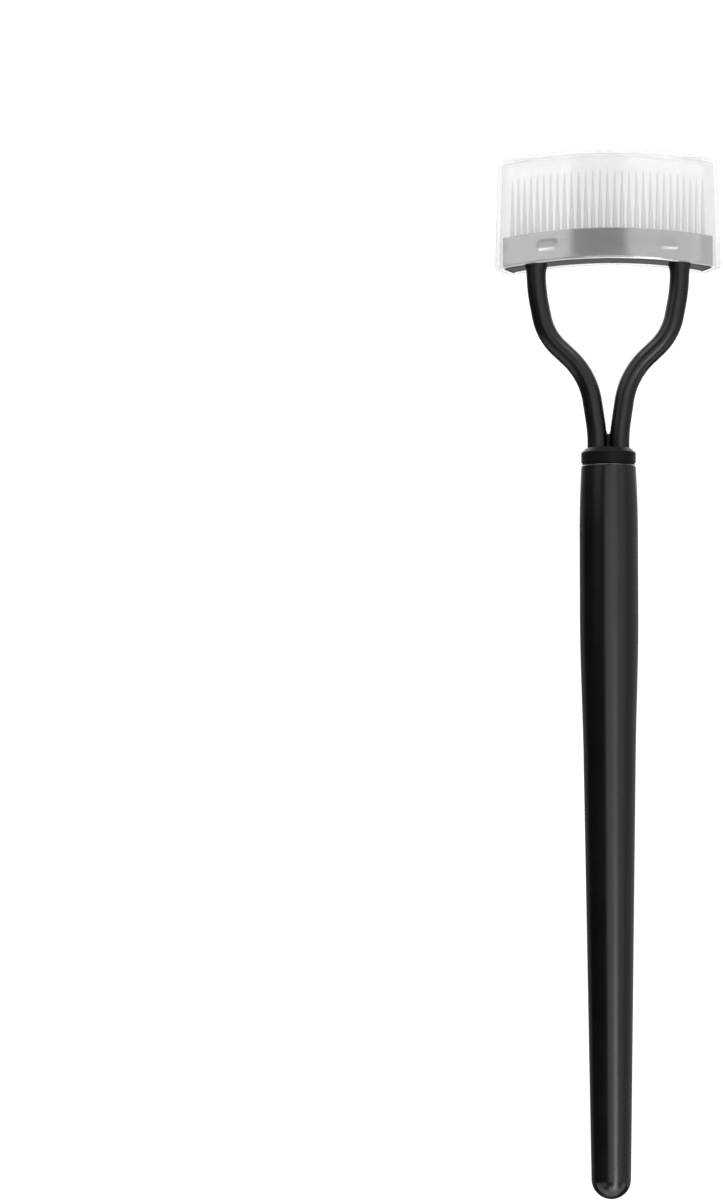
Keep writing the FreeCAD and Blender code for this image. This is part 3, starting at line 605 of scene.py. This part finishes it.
def makeCap(material):
    # a rounded bar bent round the comb's arc: each level is the rim's outline drawn in by an inset. Going up,
    # the walls lean in with the draft and the top edge rolls over in a quarter circle; the inside is the same
    # a wall further in
    halfWide = comb["depth"] / 2 + cap["gap"] + cap["wall"]
    halfLong = comb["radius"] * math.asin(cap["reach"] / (comb["radius"] + halfWide))
    tilt = math.tan(math.radians(cap["draft"]))
    lip, wall, topRound, innerRound = cap["lip"], cap["wall"], cap["topRound"], cap["innerRound"]
    roll = np.linspace(0, np.pi / 2, capSteps["topRound"])
    rim = np.linspace(np.pi / 2, 0, capSteps["lip"])
    plate = np.linspace(0, 1, capSteps["plate"])[1:]
    wallUp = np.linspace(lip, cap["height"] - topRound, capSteps["wall"])
    ceiling = cap["height"] - wall
    innerUp = np.linspace(lip, ceiling - innerRound, capSteps["wall"])[::-1]
    topInset = tilt * wallUp[-1] + topRound
    innerTop = wall + tilt * innerUp[0] + innerRound
    rollBack, rimBack, plateBack = roll[::-1], rim[::-1], plate[::-1]
    levels = [
        np.stack([lip - lip * np.cos(rim), lip - lip * np.sin(rim)], -1),
        np.stack([tilt * wallUp, wallUp], -1)[1:],
        np.stack([topInset - topRound * np.cos(roll), wallUp[-1] + topRound * np.sin(roll)], -1)[1:],
        np.stack([topInset + plate * (halfWide - topInset), 0 * plate + cap["height"]], -1),
        np.stack([innerTop + plateBack * (halfWide - innerTop), 0 * plate + ceiling], -1),
        np.stack([innerTop - innerRound * np.cos(rollBack), innerUp[0] + innerRound * np.sin(rollBack)], -1),
        np.stack([wall + tilt * innerUp, innerUp], -1)[1:],
        np.stack([wall - lip + lip * np.cos(rimBack), lip - lip * np.sin(rimBack)], -1)[1:],
    ]
    levels = np.concatenate(levels)
    inset, up = levels[:, :1], levels[:, 1:]
    sideX, sideY, cornerX, cornerY = capOutline()
    corner = np.clip(cap["corner"] - inset, 0.0, None)
    along = sideX * (halfLong - inset - corner) + cornerX * corner
    out = sideY * np.clip(halfWide - inset - corner, 0, None) + cornerY * corner
    points = ontoArc(along, out, up + 0 * along)
    faces = gridFaces(*points.shape[:2], wrapRows=True)
    makePiece("clearCap", points, faces, ["clear_cap"], material)


# in millimetres and degrees
view = {"distance": 450.0, "lens": 118.125, "sensor": 36.0, "pitch": 3.5, "turn": 3.604, "middleUp": -2.71}


def makeCamera():
    # stands in front of the handle and a little below it, and looks up and to the left, so that the tool
    # stands right of the middle
    data = bpy.data.cameras.new("camera")
    data.sensor_width = view["sensor"]
    data.lens = view["lens"]
    data.clip_start = 0.01
    data.clip_end = 20.0
    camera = bpy.data.objects.new("camera", data)
    bpy.context.scene.collection.objects.link(camera)
    pitch = math.radians(view["pitch"])
    camera.location = Vector((0, -math.cos(pitch) * view["distance"],
                              view["middleUp"] - math.sin(pitch) * view["distance"])) * mm
    camera.rotation_euler = (math.pi / 2 + pitch, 0, math.radians(view["turn"]))
    bpy.context.scene.camera = camera


# metres
stage = {"shellRadius": 3.0, "floorRadius": 1.6, "floorUp": -0.32, "tone": (0.88, 0.9), "glow": 1.0}


def makeStageMaterial():
    # pale matt surface that also gives out light, so that it stays even
    material, flow, place = startMaterial("paleStage")
    cloud = noise(flow, place, 1.5, 1.0)
    shader = flow.node("ShaderNodeBsdfPrincipled", {}, {
        "Base Color": grey(flow, *stage["tone"], cloud),
        "Roughness": 0.9,
        "Emission Color": (1, 1, 1, 1),
        "Emission Strength": stage["glow"],
    })
    return finishMaterial(material, shader)


def makeStage():
    # a pale floor and a large pale shell round everything, which only the camera and clear parts see
    material = makeStageMaterial()
    rise = np.linspace(-math.pi / 2, math.pi / 2, 33)
    shell = np.stack([np.cos(rise), np.sin(rise)], -1) * stage["shellRadius"] / mm
    floor = np.array([[0.0, stage["floorUp"]], [stage["floorRadius"], stage["floorUp"]]]) / mm
    for name, profile in (("paleShell", shell), ("paleFloor", floor)):
        grid = turned(profile, 64)
        mesh = bpy.data.meshes.new(name)
        mesh.from_pydata((grid.reshape(-1, 3) * mm).tolist(), [], gridFaces(*grid.shape[:2]).tolist())
        mesh.materials.append(material)
        thing = bpy.data.objects.new(name, mesh)
        bpy.context.scene.collection.objects.link(thing)
        thing.visible_glossy = False
        thing.visible_diffuse = False
        thing.visible_shadow = False


# each soft panel: bearing right of the camera and height in degrees, width and height in metres, brightness
panels = {
    "frontLeft": (-3.0, -1.0, 0.44, 0.6, 1.35),
    "frontRight": (21.0, -1.0, 0.42, 0.6, 1.45),
    "right": (52.0, -2.0, 0.66, 0.6, 0.85),
    "sideRight": (98.0, -5.0, 1.0, 0.8, 0.42),
    "low": (27.0, -30.0, 0.27, 0.8, 6.4),
    "lowLeft": (-43.0, -30.0, 0.5, 0.3, 1.3),
    "lowLeftFar": (-84.0, -46.0, 0.6, 0.9, 1.3),
    "lowRightFar": (84.0, -46.0, 0.6, 0.9, 1.3),
    "ledgeLeft": (-39.0, 58.0, 0.7, 0.4, 4.0),
    "ledgeRight": (39.0, 58.0, 0.7, 0.4, 4.0),
    "lowWide": (18.0, -56.0, 0.8, 0.4, 3.0),
    "crimpLeft": (-46.0, 12.0, 0.5, 0.12, 0.75),
    "below": (0.0, -88.0, 0.8, 0.8, 1.6),
    "top": (0.0, 80.0, 1.5, 1.0, 1.2),
    "leftHigh": (-48.0, 30.0, 0.74, 0.48, 1.4),
    "rightHigh": (39.0, 30.0, 0.84, 0.48, 1.1),
    "leftOuter": (-80.0, 30.0, 0.38, 0.48, 0.9),
    "rightOuter": (76.0, 30.0, 0.44, 0.48, 0.8),
    "sideLeftHigh": (-124.0, 34.0, 1.0, 0.65, 1.1),
    "sideRightHigh": (122.0, 34.0, 1.0, 0.65, 1.1),
    "backHigh": (180.0, 30.0, 1.2, 0.8, 2.6),
    "backLeft": (-135.0, -5.0, 0.7, 0.7, 0.2),
    "backRight": (140.0, -5.0, 0.6, 0.7, 0.4),
    "back": (180.0, -20.0, 0.9, 0.8, 0.2),
}


roomGlow = 0.02


def makeLights():
    # soft panels on a ball of one metre that all face the tool; a panel's power is its brightness times its
    # area times pi
    for name, (bearing, rise, wide, tall, bright) in panels.items():
        data = bpy.data.lights.new(name, "AREA")
        data.shape = "RECTANGLE"
        data.size = wide
        data.size_y = tall
        data.energy = bright * wide * tall * math.pi
        lamp = bpy.data.objects.new(name, data)
        bpy.context.scene.collection.objects.link(lamp)
        lamp.visible_camera = False
        turn, lift = math.radians(bearing), math.radians(rise)
        lamp.location = (math.sin(turn) * math.cos(lift), -math.cos(turn) * math.cos(lift), math.sin(lift))
        lamp.rotation_euler = lamp.location.to_track_quat("Z", "Y").to_euler()
    world = bpy.data.worlds.new("softRoom")
    world.use_nodes = True
    background = world.node_tree.nodes["Background"]
    background.inputs["Color"].default_value = (1, 1, 1, 1)
    background.inputs["Strength"].default_value = roomGlow
    bpy.context.scene.world = world


makeCamera()
makeStage()
makeLights()
bpy.context.scene.view_settings.view_transform = "Standard"
print("camera, stage and lights ready")

makeHandle(makeSatinBlack("satinHandle"))
wireBlack = makeSatinBlack("coatedWire")
makeCollar(makeSatinBlack("mouldedCollar"))
makeArm("leftWire", "left_arm", -1, wireBlack)
makeArm("rightWire", "right_arm", 1, wireBlack)
print("handle, collar and arms ready")

makeBand(makeBandSteel())
makeNeedles(makeNeedleSteel())
stripMesh = frame["nodes"]["needle_strip"].data
stripMesh.materials.clear()
stripMesh.materials.append(makeStripPlastic())
makeCap(makeClearPlastic())
print("head and cap ready")
